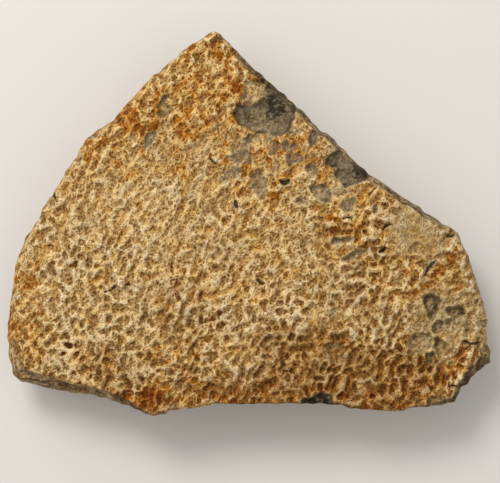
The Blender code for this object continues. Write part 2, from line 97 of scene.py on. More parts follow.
# The broken edge: direction, width of the slope outside the rim, drop over that slope,
# how far the underside is set in, height of the lower lip, and how stepped the slope is
EDGE = (
    (5, 1.7, 5.0, 3.5, 3.0, 0.0),
    (20, 2.1, 6.0, 3.0, 3.0, 0.2),
    (60, 1.7, 6.5, 3.0, 3.0, 0.4),
    (86, 1.9, 6.5, 3.0, 3.0, 0.4),
    (101, 2.0, 5.0, 3.0, 3.0, 0.0),
    (128, 2.8, 5.0, 3.5, 3.0, 0.0),
    (152, 4.8, 5.0, 3.5, 3.5, 0.0),
    (176, 7.0, 5.5, 3.5, 4.0, 0.0),
    (199, 8.5, 7.0, 3.0, 4.0, 0.0),
    (210, 4.6, 7.5, 3.0, 4.0, 0.3),
    (219, 3.2, 7.5, 3.5, 4.0, 1.0),
    (230, 2.2, 6.0, 5.0, 4.5, 0.7),
    (243, 0.9, 2.2, 7.0, 5.0, 0.0),
    (270, 0.6, 1.6, 8.0, 5.5, 0.0),
    (300, 0.7, 1.6, 8.0, 5.5, 0.0),
    (318, 0.9, 2.2, 7.0, 5.0, 0.0),
    (328, 2.8, 6.5, 4.5, 4.0, 0.0),
    (336, 4.6, 8.0, 3.5, 3.5, 0.2),
    (342, 1.8, 6.0, 3.5, 3.0, 0.0),
)

# Where the ornament is stronger or weaker than usual: x, y, half sizes, turn, strength
ORNAMENT_ZONES = (
    (0, -7, 13, 12, 0, 0.80),
    (-25, 20, 22, 12, 45, 0.70),
    (26, -28, 26, 14, 0, 1.25),
    (-18, 6, 17, 11, 20, 0.85),
    (46, -12, 8, 9, 10, 0.70),
    (37, -3, 6, 5, 0, 0.15),
    (42.5, -23.5, 6, 7.5, 0, 0.20),
    (8, 20, 9, 11, 0, 0.60),
)

# Smaller flakes and pits with flat floors: x, y, half sizes, turn, depth, greyness of the floor
FLAKES = (
    (14.7, 18.5, 1.4, 1.6, 0, 0.7, 1.0),
    (17.1, 18.7, 1.3, 1.4, 0, 0.4, 0.3),
    (-0.9, 14.6, 1.4, 1.7, 0, 0.8, 0.7),
    (8.3, 8.9, 0.9, 1.0, 0, 1.1, 0.9),
    (2.6, 8.4, 2.2, 3.0, 20, 0.6, 0.75),
    (-2.2, 17.2, 2.6, 2.0, 20, 0.5, 0.55),
    (-5.2, 11.0, 0.9, 2.0, 10, 0.5, 0.6),
    (14.0, 12.2, 1.4, 1.5, 0, 0.7, 0.75),
    (17.0, 6.4, 1.4, 2.7, 30, 0.7, 0.75),
    (10.6, 14.6, 1.5, 1.3, 0, 0.5, 0.6),
    (12.0, 5.2, 1.3, 1.0, 20, 0.5, 0.6),
    (23.4, 4.6, 1.2, 0.8, 30, 0.5, 0.6),
    (28.2, 2.8, 1.0, 1.0, 0, 0.6, 0.8),
    (37.8, -5.9, 1.9, 1.1, 25, 0.7, 0.4),
    (47.0, -20.2, 2.5, 1.5, -15, 1.5, 0.7),
    (46.3, -23.2, 1.8, 1.5, 0, 0.6, 0.6),
    (43.0, -23.9, 1.4, 1.5, 0, 1.1, 0.65),
    (39.5, -27.7, 2.2, 2.8, 0, 0.9, 0.65),
    (43.5, -28.2, 1.5, 1.9, 20, 1.5, 0.65),
    (41.6, -31.0, 1.0, 1.6, 25, 1.4, 0.7),
    (42.4, -40.6, 2.6, 1.4, 20, 1.0, 0.6),
    (-19.4, 27.6, 0.9, 2.1, -30, 0.8, 0.8),
    (-18.9, 24.9, 1.0, 2.0, -40, 0.8, 0.7),
    (-22.4, 19.1, 1.1, 2.6, -25, 0.8, 0.8),
    (-25.9, 19.2, 1.4, 1.3, 0, 0.5, 0.4),
    (-11.2, 17.0, 2.8, 2.2, 30, 0.4, 0.5),
    (-6.0, 9.3, 1.4, 1.0, 10, 0.5, 0.6),
    (20.1, -29.7, 2.2, 2.3, 0, 0.9, 0.25),
    (20.1, -20.5, 1.9, 1.6, 0, 0.6, 0.2),
    (21.3, -4.1, 3.2, 0.7, 18, 0.8, 0.7),
    (23.6, -7.4, 3.2, 0.7, 18, 0.8, 0.7),
    (40.4, -10.8, 0.6, 2.8, -35, 0.5, 0.4),
    (48.4, -7.5, 1.0, 0.7, 40, 0.6, 0.8),
    (51.8, -17.4, 1.0, 0.7, 40, 0.6, 0.8),
    (53.0, -22.6, 1.4, 0.9, -50, 0.6, 0.6),
    (-36.2, 19.3, 1.0, 1.0, 0, 0.5, 0.7),
    (-39.0, 14.5, 1.1, 0.9, 0, 0.5, 0.7),
)

# Larger flakes: depth at the lower left and at the upper right, greyness, then the corners
LARGE_FLAKES = (
    (0.9, 0.7, 0.6, ((-0.6, 32.0), (2.9, 31.3), (5.8, 28.4), (2.9, 28.0), (0.8, 26.6),
                     (-2.3, 26.4), (-1.7, 29.2))),
    (2.1, 0.9, 1.0, ((-3.0, 26.4), (0.8, 26.8), (2.9, 28.4), (3.2, 30.9), (4.6, 31.8),
                     (7.4, 29.4), (10.4, 26.5), (9.9, 24.2), (9.7, 22.0), (7.7, 19.8),
                     (2.9, 20.0), (0.1, 20.7), (-1.7, 20.5), (-3.0, 22.3))),
    (1.5, 1.6, 0.95, ((17.1, 14.5), (19.2, 15.9), (21.0, 16.8), (23.6, 15.0), (27.3, 10.3),
                      (25.4, 8.5), (22.0, 7.8), (19.4, 9.9), (19.0, 11.7), (17.1, 13.1))),
    (2.2, 1.3, 0.7, ((39.2, -17.0), (41.0, -16.3), (43.6, -18.2), (43.4, -19.6), (41.5, -22.1),
                     (40.0, -20.0))),
    (1.8, 1.2, 1.0, ((11.4, -42.5), (11.8, -40.0), (14.4, -39.6), (16.7, -38.5), (18.5, -39.1),
                     (20.2, -42.5))),
)
LUMP = (5.5, 18.1, 2.4, 2.3, 0, 0.55)

# Cracks and pin holes, nearly black: the two ends, width, depth
CRACKS = (
    ((20.6, 0.2), (22.9, 0.5), 0.45, 0.7),
    ((26.2, -1.3), (26.6, 0.1), 0.4, 0.7),
    ((30.6, -2.3), (32.0, -0.8), 0.5, 0.9),
    ((28.8, -6.6), (29.7, -5.4), 0.5, 0.8),
    ((-9.4, 14.3), (-7.6, 13.7), 0.5, 0.7),
    ((-2.5, 4.3), (-2.4, 2.6), 0.5, 0.8),
    ((-12.2, -5.3), (-12.0, -5.3), 0.5, 0.6),
    ((1.8, -13.1), (2.7, -12.8), 0.5, 0.7),
    ((3.8, -32.2), (3.9, -32.2), 0.6, 0.7),
    ((5.4, -32.9), (5.5, -32.9), 0.6, 0.7),
    ((-33.1, -15.7), (-30.5, -14.7), 0.4, 0.5),
    ((-28.0, -14.2), (-26.9, -13.9), 0.4, 0.5),
    ((46.0, -37.3), (47.2, -37.7), 0.5, 0.7),
    ((49.2, -27.2), (52.6, -27.5), 0.4, 0.6),
    ((41.4, -9.6), (39.8, -12.0), 0.5, 0.4),
    ((45.0, -3.6), (46.4, -3.0), 0.5, 0.6),
    ((-45.8, 8.2), (-44.2, 5.7), 0.4, 0.5),
)

# Zones where the ridges run long, and which way they run there
UPPER_GRAIN = (-18, 12, 30, 17, 50)
RIGHT_GRAIN = (28, 3, 22, 12, -20)
UPPER_TURN, RIGHT_TURN = np.radians(60), np.radians(28)

# Stains: x, y, half sizes, turn, strength
OCHRE = (
    (-27, 24, 19, 9, 45, 0.78),
    (-38, 8, 9, 8, 45, 0.24),
    (-8, 33, 9, 10, 0, 0.75),
    (-1, 24, 6, 7, 0, 0.85),
    (6, 13, 9, 8, 0, 0.80),
    (2, 5, 10, 8, 0, 0.42),
    (15, 13, 5, 9, 0, 0.75),
    (24, -1, 9, 8, -20, 0.65),
    (34, -12, 8, 7, 0, 0.60),
    (44.5, -9.7, 5, 1.6, 40, 0.80),
    (47.5, -13.7, 4, 1.6, 40, 0.70),
    (47, -33, 8, 7, 30, 0.85),
    (34, -30, 8, 8, 0, 0.50),
    (-12, 23, 6, 6, 0, 0.80),
    (-27, -39.5, 13, 3.5, 0, 0.95),
    (-52, -20, 5, 18, 0, 0.75),
    (0, -10, 14, 10, 0, 0.26),
    (14, -40, 34, 3.5, 0, 0.75),
    (-8, 18, 12, 9, 0, 0.60),
    (-12, -32, 14, 7, 0, 0.45),
)
BROWN = (
    (27, -36, 17, 8, 0, 1.12),
    (16, -31, 8, 8, 0, 1.25),
    (-20, -19, 13, 11, 0, 0.45),
    (16, -4, 7, 4, 15, 0.60),
    (12, -39, 26, 6, 0, 1.10),
    (-18, -39, 8, 4, 0, 0.60),
    (12, -32, 14, 9, 0, 0.85),
    (-30, -32, 9, 6, 0, 0.50),
    (28, -13, 16, 12, 0, 0.40),
    (-12, -31, 20, 9, 0, 0.30),
    (-38, -40, 20, 4.5, -8, 0.55),
)
RUST = (
    (-40.2, -10.1, 1.1, 0.9, 0, 1.0),
    (-39.2, -11.4, 0.9, 0.8, 0, 1.0),
    (-41.0, -28.4, 1.6, 0.9, 0, 1.0),
    (-40.0, -30.2, 0.9, 0.9, 0, 0.9),
    (-42.6, -30.6, 1.0, 1.1, 0, 0.9),
    (-18.2, -13.6, 2.2, 2.2, -30, 0.8),
    (-16.8, -10.6, 1.0, 0.9, 0, 1.0),
    (-14.2, -11.2, 1.0, 0.8, 0, 1.0),
    (-16.4, -17.1, 0.9, 1.0, 0, 0.9),
    (-11.4, -16.9, 0.9, 0.8, 0, 0.9),
    (-11.2, -21.9, 1.2, 1.3, 0, 0.8),
    (-6.7, -20.3, 1.0, 0.9, 0, 0.9),
    (-8.7, -22.6, 1.0, 1.3, 0, 0.8),
    (-5.6, -22.2, 1.3, 0.8, 0, 0.9),
)

# Where scars of small flakes take the ornament's place
FLAKED = (
    (8, 15, 15, 7, -15, 1.0),
    (18, 6, 7, 5, -30, 0.8),
)

# Where the face is smooth, like plaster
SMOOTH = (
    (38, -3, 7, 5, -35, 1.0),
    (43, -24, 7, 9, 0, 0.8),
    (50, -15, 4, 8, 20, 0.5),
)

# Where bare stone is nearly black; the zone at the lower right corner is painted shade on a facet
# that faces away from the light
DARK_STONE_AND_SHADE = (
    (5.8, 26.6, 2.6, 3.2, 20, 1.0),
    (8.5, 27.5, 5.5, 1.8, -45, 0.7),
    (25, 11.6, 2.6, 1.6, -40, 1.0),
    (18.6, 13.4, 1.3, 1.5, 0, 0.8),
    (8.3, 8.9, 0.9, 1.0, 0, 1.0),
    (2.5, 32.3, 3.4, 1.2, -50, 0.8),
    (42.9, -18.6, 1.0, 1.6, 0, 0.9),
    (39.8, -17.2, 1.2, 0.8, 0, 0.9),
    (48.9, -20.2, 0.9, 1.3, 0, 1.0),
    (41.4, -31.4, 0.8, 1.4, 25, 1.0),
    # painted shade on the corner facet that faces away from the light
    (52.2, -34.8, 5.5, 2.6, 35, 1.0),
    (16, -41.2, 5.0, 2.4, 0, 0.9),
)

# Share of bare grey stone on the slope of the broken edge, by direction
EDGE_STONE = (
    (0, 0.4), (8, 0.8), (60, 0.9), (88, 0.9), (97, 0.1), (150, 0.0), (195, 0.1), (212, 0.7),
    (232, 0.8), (248, 0.4), (312, 0.4), (324, 0.9), (333, 0.9), (339, 0.3),
)

# Where the bone is palest
PALE = (
    (-22, -1, 26, 16, 35, 1.0),
    (4, -16, 16, 12, 0, 0.5),
    (24, -20, 12, 9, 0, 0.4),
)

# Relief map: cells over the whole outline, a little beyond it
CELL = 0.25
MAP_COLUMNS, MAP_ROWS = 480, 384
ACROSS = (np.arange(MAP_COLUMNS) - MAP_COLUMNS / 2 + 0.5) * CELL
ALONG = (np.arange(MAP_ROWS) - MAP_ROWS / 2 + 0.5) * CELL


def smooth_step(t):
    """Zero below zero, one above one and smooth between them."""
    t = np.clip(t, 0, 1)
    return t * t * (3 - 2 * t)


def blurred(field, size):
    """The map with detail under about this size removed."""
    waves_x = 2 * np.pi * np.fft.rfftfreq(MAP_COLUMNS, CELL)[None, :]
    waves_y = 2 * np.pi * np.fft.fftfreq(MAP_ROWS, CELL)[:, None]
    fade = np.exp(-(waves_x**2 + waves_y**2) * (size / 5) ** 2)
    return np.fft.irfft2(np.fft.rfft2(field) * fade, s=(MAP_ROWS, MAP_COLUMNS))


def rolling(rng, size):
    """Random rises and dips about this far apart, with a spread of one."""
    field = blurred(rng.normal(size=(MAP_ROWS, MAP_COLUMNS)), size)
    return field / field.std()


def patch(x, y, zone, softness=0.9):
    """One inside the oval zone and nothing outside it."""
    middle_x, middle_y, half_x, half_y, turn = zone
    turn = np.radians(turn)
    off_x, off_y = x - middle_x, y - middle_y
    along = (off_x * np.cos(turn) + off_y * np.sin(turn)) / half_x
    across = (off_y * np.cos(turn) - off_x * np.sin(turn)) / half_y
    return smooth_step((1 + softness / 2 - np.hypot(along, across)) / softness)


def depth_inside(corners, x, y):
    """Distance to the polygon's edge, positive inside it."""
    corners = np.asarray(corners, float)
    nearest = np.full(np.shape(x), 1e9)
    inside = np.zeros(np.shape(x), bool)
    for (ax, ay), (bx, by) in zip(corners, np.roll(corners, -1, axis=0)):
        run_x, run_y = bx - ax, by - ay
        share = np.clip(((x - ax) * run_x + (y - ay) * run_y) / (run_x**2 + run_y**2), 0, 1)
        nearest = np.minimum(nearest, np.hypot(x - ax - share * run_x, y - ay - share * run_y))
        if ay != by:
            inside ^= ((ay > y) != (by > y)) & (x < (bx - ax) * (y - ay) / (by - ay) + ax)
    return np.where(inside, nearest, -nearest)


def grooves(rng, rows, columns, row_gap, pitch):
    """Short grooves that start at shaken lattice points: their two ends and their groups.

    Where the ridges run long, many are joined to the next one along the grain, and share
    its group.
    """
    row, column = np.mgrid[0:rows, 0:columns]
    shake = rng.uniform(-0.24, 0.24, (2, rows, columns)) * pitch
    start_x = (column - columns / 2 + 0.5 * (row % 2)) * pitch + shake[0]
    start_y = (row - rows / 2) * row_gap + shake[1]
    upper = patch(start_x, start_y, UPPER_GRAIN)
    right = patch(start_x, start_y, RIGHT_GRAIN)
    grain = np.where(right > upper, RIGHT_TURN, UPPER_TURN) + rng.normal(0, 0.45, row.shape)
    joined = rng.random(row.shape) < 0.36 + 0.30 * upper + 0.28 * right

    stub = rng.uniform(0, 0.35, row.shape) * pitch
    end_x = start_x + stub * np.cos(grain)
    end_y = start_y + stub * np.sin(grain)
    group = np.arange(row.size).reshape(row.shape)
    number = group.copy()
    best = np.full(row.shape, -9.0)
    odd = row % 2
    neighbours = ((0, 1), (0, -1), (1, odd - 1), (1, odd), (-1, odd - 1), (-1, odd))
    for step_row, step_column in neighbours:
        near_row = np.clip(row + step_row, 0, rows - 1)
        near_column = np.clip(column + step_column, 0, columns - 1)
        to_x = start_x[near_row, near_column]
        to_y = start_y[near_row, near_column]
        length = np.hypot(to_x - start_x, to_y - start_y) + 1e-6
        turn_x = (to_x - start_x) / length * np.cos(grain)
        turn_y = (to_y - start_y) / length * np.sin(grain)
        match = turn_x + turn_y - 0.25 * length / pitch
        take = joined & (match > best)
        best = np.where(take, match, best)
        end_x = np.where(take, to_x, end_x)
        end_y = np.where(take, to_y, end_y)
        group = np.where(take, number[near_row, near_column], group)
    group = group.ravel()
    for _ in range(4):
        group = group[group]
    group = np.minimum(group, group[group]).reshape(row.shape)
    return start_x, start_y, end_x, end_y, group


def pits(rng, x, y, pitch):
    """Pits this far apart: one at the floor of a pit, nothing on the ridges between them."""
    row_gap = pitch * np.sqrt(3) / 2
    rows = int(MAP_ROWS * CELL * 1.25 / row_gap)
    columns = int(MAP_COLUMNS * CELL * 1.25 / pitch)
    start_x, start_y, end_x, end_y, group = grooves(rng, rows, columns, row_gap, pitch)
    radius = pitch * rng.uniform(0.28, 0.44, group.shape)
    faint = np.where(rng.random(group.shape) < 0.06, 0.25, 1.0)
    depth = rng.uniform(0.7, 1.0, group.shape) * faint

    home_row = np.clip(np.round(y / row_gap + rows / 2).astype(int), 2, rows - 3)
    home_column = np.round(x / pitch + columns / 2 - 0.5 * (home_row % 2)).astype(int)
    home_column = np.clip(home_column, 2, columns - 3)
    nearest = np.full(x.shape, 9.0)
    next_group = np.full(x.shape, 9.0)
    owner = np.full(x.shape, -1)
    floor = np.zeros(x.shape)
    for step_row in range(-2, 3):
        for step_column in range(-2, 3):
            at = (home_row + step_row, home_column + step_column)
            run_x, run_y = end_x[at] - start_x[at], end_y[at] - start_y[at]
            off_x, off_y = x - start_x[at], y - start_y[at]
            share = (off_x * run_x + off_y * run_y) / (run_x**2 + run_y**2 + 1e-9)
            share = np.clip(share, 0, 1)
            away = np.hypot(off_x - share * run_x, off_y - share * run_y) / radius[at]
            other = group[at] != owner
            closer = away < nearest
            pushed = np.where(closer, nearest, np.minimum(next_group, away))
            next_group = np.where(other, pushed, next_group)
            floor = np.where(closer, depth[at], floor)
            owner = np.where(closer, group[at], owner)
            nearest = np.minimum(nearest, away)
    bowl = smooth_step((1.3 - nearest) / 1.15) * smooth_step((next_group - nearest) / 0.7)
    return bowl * floor


def scars(rng, x, y, pitch):
    """Scars of small flakes, side by side: depth, deepest on one side, and a chance value."""
    rows = int(MAP_ROWS * CELL / pitch) + 6
    columns = int(MAP_COLUMNS * CELL / pitch) + 6
    row, column = np.mgrid[0:rows, 0:columns]
    shake = rng.uniform(-0.48, 0.48, (2, rows, columns))
    middle_x = (column + shake[0] - columns / 2) * pitch
    middle_y = (row + shake[1] - rows / 2) * pitch
    reach = rng.uniform(0.75, 1.5, row.shape)
    chance = rng.random(row.shape)
    lean = rng.uniform(0, 2 * np.pi, row.shape)
    home_row = np.clip(np.round(y / pitch + rows / 2).astype(int), 2, rows - 3)
    home_column = np.clip(np.round(x / pitch + columns / 2).astype(int), 2, columns - 3)
    nearest, second = np.full(x.shape, 9.0), np.full(x.shape, 9.0)
    slant, value = np.zeros(x.shape), np.zeros(x.shape)
    for step_row in range(-2, 3):
        for step_column in range(-2, 3):
            at = (home_row + step_row, home_column + step_column)
            off_x, off_y = x - middle_x[at], y - middle_y[at]
            away = np.hypot(off_x, off_y) / (reach[at] * pitch)
            closer = away < nearest
            second = np.where(closer, nearest, np.minimum(second, away))
            down = (off_x * np.cos(lean[at]) + off_y * np.sin(lean[at])) / (reach[at] * pitch)
            slant = np.where(closer, down, slant)
            value = np.where(closer, chance[at], value)
            nearest = np.minimum(nearest, away)
    inside = smooth_step((second - nearest) / 0.15)
    return inside * np.clip(0.55 + 1.1 * slant, 0, 1), value


def read_map(field, x, y):
    """The map's values at these places, even between its cells."""
    column = np.clip((x - ACROSS[0]) / CELL, 0, MAP_COLUMNS - 1.001)
    row = np.clip((y - ALONG[0]) / CELL, 0, MAP_ROWS - 1.001)
    left, low = column.astype(int), row.astype(int)
    right_share, up_share = column - left, row - low
    lower = field[low, left] * (1 - right_share) + field[low, left + 1] * right_share
    upper = field[low + 1, left] * (1 - right_share) + field[low + 1, left + 1] * right_share
    return lower * (1 - up_share) + upper * up_share


def edge_at(x, y):
    """The broken edge's five measures in the direction of each point."""
    direction = np.degrees(np.arctan2(y - MIDDLE[1], x - MIDDLE[0]))
    table = np.array(EDGE, float)
    return [np.interp(direction, table[:, 0], table[:, i], period=360) for i in range(1, 6)]


def outline(spacing):
    """The broken outline as even points: corners joined, rounded a little and roughened."""
    corners = np.array(OUTLINE + OUTLINE[:1])
    lengths = np.hypot(*np.diff(corners, axis=0).T)
    travelled = np.concatenate([[0], np.cumsum(lengths)])
    count = int(travelled[-1] / spacing)
    where = np.arange(count) * travelled[-1] / count
    points = np.column_stack([np.interp(where, travelled, corners[:, i]) for i in (0, 1)])
    frequency = np.fft.fftfreq(count, spacing)[:, None]
    rounding = np.exp(-0.5 * (2 * np.pi * frequency * 0.55) ** 2)
    points = np.real(np.fft.ifft(np.fft.fft(points, axis=0) * rounding, axis=0))
    heading = np.roll(points, -1, axis=0) - np.roll(points, 1, axis=0)
    outward = np.column_stack([heading[:, 1], -heading[:, 0]])
    outward /= np.hypot(*outward.T)[:, None]
    rng = np.random.default_rng(SEED)
    turn = 2 * np.pi * where / travelled[-1]
    rough = np.zeros(count)
    for waves in range(24, 132, 4):
        rough += np.sin(waves * turn + rng.uniform(0, 2 * np.pi)) / 40
    return points + outward * (rough[:, None] - 0.1)


def slope(t, stepped):
    """Share of the drop at t of the way in from the outline: rounded, or with a ledge."""
    t = np.clip(t, 0, 1)
    rounded = 1 - np.sqrt(1 - (1 - t) ** 2)
    ledge = 0.75 * smooth_step((0.95 - t) / 0.4) + 0.25 * smooth_step((0.3 - t) / 0.3)
    return rounded * (1 - stepped) + ledge * stepped


def upper_height(x, y, inset, relief):
    """The domed face with its slope at the rim, and its relief, which is lower on the slope."""
    width, drop, _, _, stepped = edge_at(x, y)
    far = np.hypot((x - CROWN_AT[0]) / HALF_LENGTH, (y - CROWN_AT[1]) / HALF_WIDTH)
    form = THICKNESS - SWELL_ROOM - CROWN_FALL * far**2 - drop * slope(inset / width, stepped)
    within = smooth_step((inset - 0.3 * width) / (0.6 * width) + 0.35)
    return form + relief * (0.3 + 0.7 * within)


def under_height(x, y, inset, rolls):
    """Zero on the rest patch, hollow round it and up to the lower lip at the outline."""
    lip = edge_at(x, y)[3]
    off = 1 - patch(x, y, REST_PATCH + (0,), 0.5)
    hollow = off * np.clip(0.7 + 0.5 * read_map(rolls, x, y), 0.1, 2)
    return hollow + (lip - hollow) * slope(inset / LIP_WIDTH, 0)


def sheet(ring, spacing):
    """Flat triangles that fill the ring: points, triangles and the ring's places in them."""
    low, high = ring.min(axis=0), ring.max(axis=0)
    row_gap = spacing * np.sqrt(3) / 2
    rows = int((high[1] - low[1]) / row_gap) + 1
    columns = int((high[0] - low[0]) / spacing) + 1
    row, column = np.mgrid[0:rows, 0:columns]
    x = (low[0] + (column + 0.5 * (row % 2)) * spacing).ravel()
    y = (low[1] + row * row_gap).ravel()
    keep = depth_inside(ring, x, y) > 0.6 * spacing
    points = np.concatenate([ring, np.column_stack([x[keep], y[keep]])])
    rim = [(i, (i + 1) % len(ring)) for i in range(len(ring))]
    flat = [Vector(point) for point in points]
    made, _, faces, sources, _, _ = delaunay_2d_cdt(flat, rim, [], 1, 1e-5)
    place = {source: i for i, found in enumerate(sources) for source in found}
    return np.array([tuple(p) for p in made]), faces, [place[i] for i in range(len(ring))]


def near_line(crack, x, y):
    """One along the crack's line, and nothing beyond its width."""
    (ax, ay), (bx, by), width, _ = crack
    run_x, run_y = bx - ax, by - ay
    share = np.clip(((x - ax) * run_x + (y - ay) * run_y) / (run_x**2 + run_y**2), 0, 1)
    away = np.hypot(x - ax - share * run_x, y - ay - share * run_y)
    return smooth_step(1.5 - away / (0.5 * width))


def stained(zones, x, y):
    """The strongest of the stains at each point."""
    amount = np.zeros(x.shape)
    for *zone, strength in zones:
        amount = np.maximum(amount, strength * patch(x, y, zone, 1.1))
    return amount


def flakes(x, y, ragged, torn):
    """Depth of the flakes' floors under the face, and how grey the floors are."""
    cut = np.zeros(x.shape)
    grey = np.zeros(x.shape)
    for *zone, depth, greyness in FLAKES:
        cut = np.maximum(cut, depth * patch(*torn, zone, 0.25))
        grey = np.maximum(grey, greyness * patch(*torn, zone, 0.2))
    for low_depth, high_depth, greyness, corners in LARGE_FLAKES:
        side = smooth_step((x + y - min(a + b for a, b in corners)) / 14)
        within = depth_inside(corners, *ragged)
        depth = low_depth + (high_depth - low_depth) * side
        cut = np.maximum(cut, depth * smooth_step(within / 0.6 + 0.5))
        grey = np.maximum(grey, greyness * smooth_step(within / 0.5 + 0.4))
    return cut, grey


def painted_wall_shade(cut):
    """Painted shade: one along the foot of each flake's wall at the upper left, which hides the
    light, and less at the lower right.
    """
    upper_left = np.roll(cut, (-WALL_SHADE_CELLS, WALL_SHADE_CELLS), (0, 1))
    lower_right = np.roll(cut, (WALL_SHADE_CELLS, -WALL_SHADE_CELLS), (0, 1))
    near_wall = 0.6 * smooth_step((cut - lower_right) / 0.8)
    return np.maximum(smooth_step((cut - upper_left) / 0.6), near_wall)


def face_maps():
    """The upper face: height of its detail above the smooth form, and what its finish needs."""
    rng = np.random.default_rng(SEED)
    x, y = np.meshgrid(ACROSS, ALONG)
    bend_x = 0.5 * rolling(rng, 9) + 0.26 * rolling(rng, 2.6)
    bend_y = 0.5 * rolling(rng, 9) + 0.26 * rolling(rng, 2.6)
    ornament = blurred(pits(rng, x + bend_x, y + bend_y, PIT_PITCH), PIT_ROUNDING)

    strength = 0.85 + 0.18 * rolling(rng, 10)
    for *zone, amount in ORNAMENT_ZONES:
        inside = patch(x, y, zone)
        strength = strength * (1 - inside) + strength * amount * inside
    swells = 0.40 * rolling(rng, 22) + 0.16 * rolling(rng, 6)

    ragged_x, ragged_y = x + 0.25 * rolling(rng, 2), y + 0.25 * rolling(rng, 2)
    torn_x, torn_y = ragged_x + 0.35 * rolling(rng, 5), ragged_y + 0.35 * rolling(rng, 5)
    cut, grey = flakes(x, y, (ragged_x, ragged_y), (torn_x, torn_y))
    flaked = stained(FLAKED, x, y)
    scar_x = x + 0.6 * bend_x + 0.45 * rolling(rng, 2.4)
    scar_y = y + 0.6 * bend_y + 0.45 * rolling(rng, 2.4)
    scar, chance = scars(rng, scar_x, scar_y, SCAR_PITCH)
    scar = scar * smooth_step((flaked - 0.9 * chance) / 0.15)
    cut = np.maximum(cut, SCAR_DEPTH * scar * (0.5 + 0.5 * np.sin(40 * chance) ** 2))
    whole = 1 - smooth_step(cut / 0.35)
    raised = LUMP[-1] * patch(x, y, LUMP[:-1], 0.8)
    carved = PIT_DEPTH * strength * ornament * (1 - 0.6 * flaked) * whole
    grain = 0.08 * rolling(rng, 1.5) + 0.06 * rolling(rng, 0.8)
    level = 1.6 * rolling(rng, 4) + 0.8 * rolling(rng, 1.5)
    steps = np.floor(level) + smooth_step((level - np.floor(level)) / 0.2)
    smooth = stained(SMOOTH, x, y)
    rim = blurred(smooth_step(cut / 0.3), 2.2) * whole
    relief = swells + raised - cut - carved + grain * (1 - 0.5 * grey) + 0.35 * rim
    relief = relief + np.clip(steps, -3, 3) * (0.14 * (1 - whole) + 0.13 * smooth * whole)

    crack = np.zeros(x.shape)
    for line in CRACKS:
        inside = near_line(line, torn_x, torn_y)
        crack = np.maximum(crack, inside)
        relief = relief - line[-1] * inside

    scar_grey = smooth_step(scar / 0.5) * (0.2 + 0.6 * np.sin(90 * chance) ** 2)
    return {
        "relief": relief,
        "crest": -carved + blurred(carved, 5) + 0.6 * grain + 0.45 * rim,
        "grey": np.maximum(grey, scar_grey),
        # painted shade at the foot of the flakes' walls
        "foot": painted_wall_shade(cut) * (1 - whole),
        "crack": crack,
        "ochre": stained(OCHRE, torn_x, torn_y),
        "brown": stained(BROWN, x, y),
        "rust": stained(RUST, torn_x, torn_y),
        "pale": stained(PALE, x, y),
        "smooth": smooth * whole,
        "dark": stained(DARK_STONE_AND_SHADE, torn_x, torn_y),
    }


def wall_inset(down, turn, phases):
    """How far in the broken edge lies, at this share of the way down and these directions."""
    ripple = np.zeros(turn.shape)
    for k, (shift, lean) in enumerate(phases):
        ripple += np.sin((7 + 9 * k) * turn + shift + (2 + k) * 2.2 * down + lean) / (1.5 + k)
    rough = 0.45 * (1.2 + ripple) * np.sin(np.pi * down)
    layer = sum(max(0, 1 - abs(7 * down - k)) for k in (1, 4))
    return np.maximum(rough, 0) + 0.7 * layer * (0.5 + 0.5 * np.sin(5 * turn + phases[0, 0]))


def broken(points):
    """Roughness of a broken face at each point: torn layers with pits between them."""
    rough = []
    for x, y, z in points:
        layered = Vector((x * 0.16, y * 0.16, z * 0.75))
        fine = Vector((x * 0.5, y * 0.5, z * 1.1))
        rough.append(0.95 * noise.fractal(layered, 0.9, 2.0, 3) + 0.45 * noise.noise(fine))
    return np.array(rough)


def from_face(values, count, elsewhere=0.0):
    """The upper face's values, then the same value at each of the other points."""
    return np.concatenate([values, np.full(count - len(values), elsewhere)])


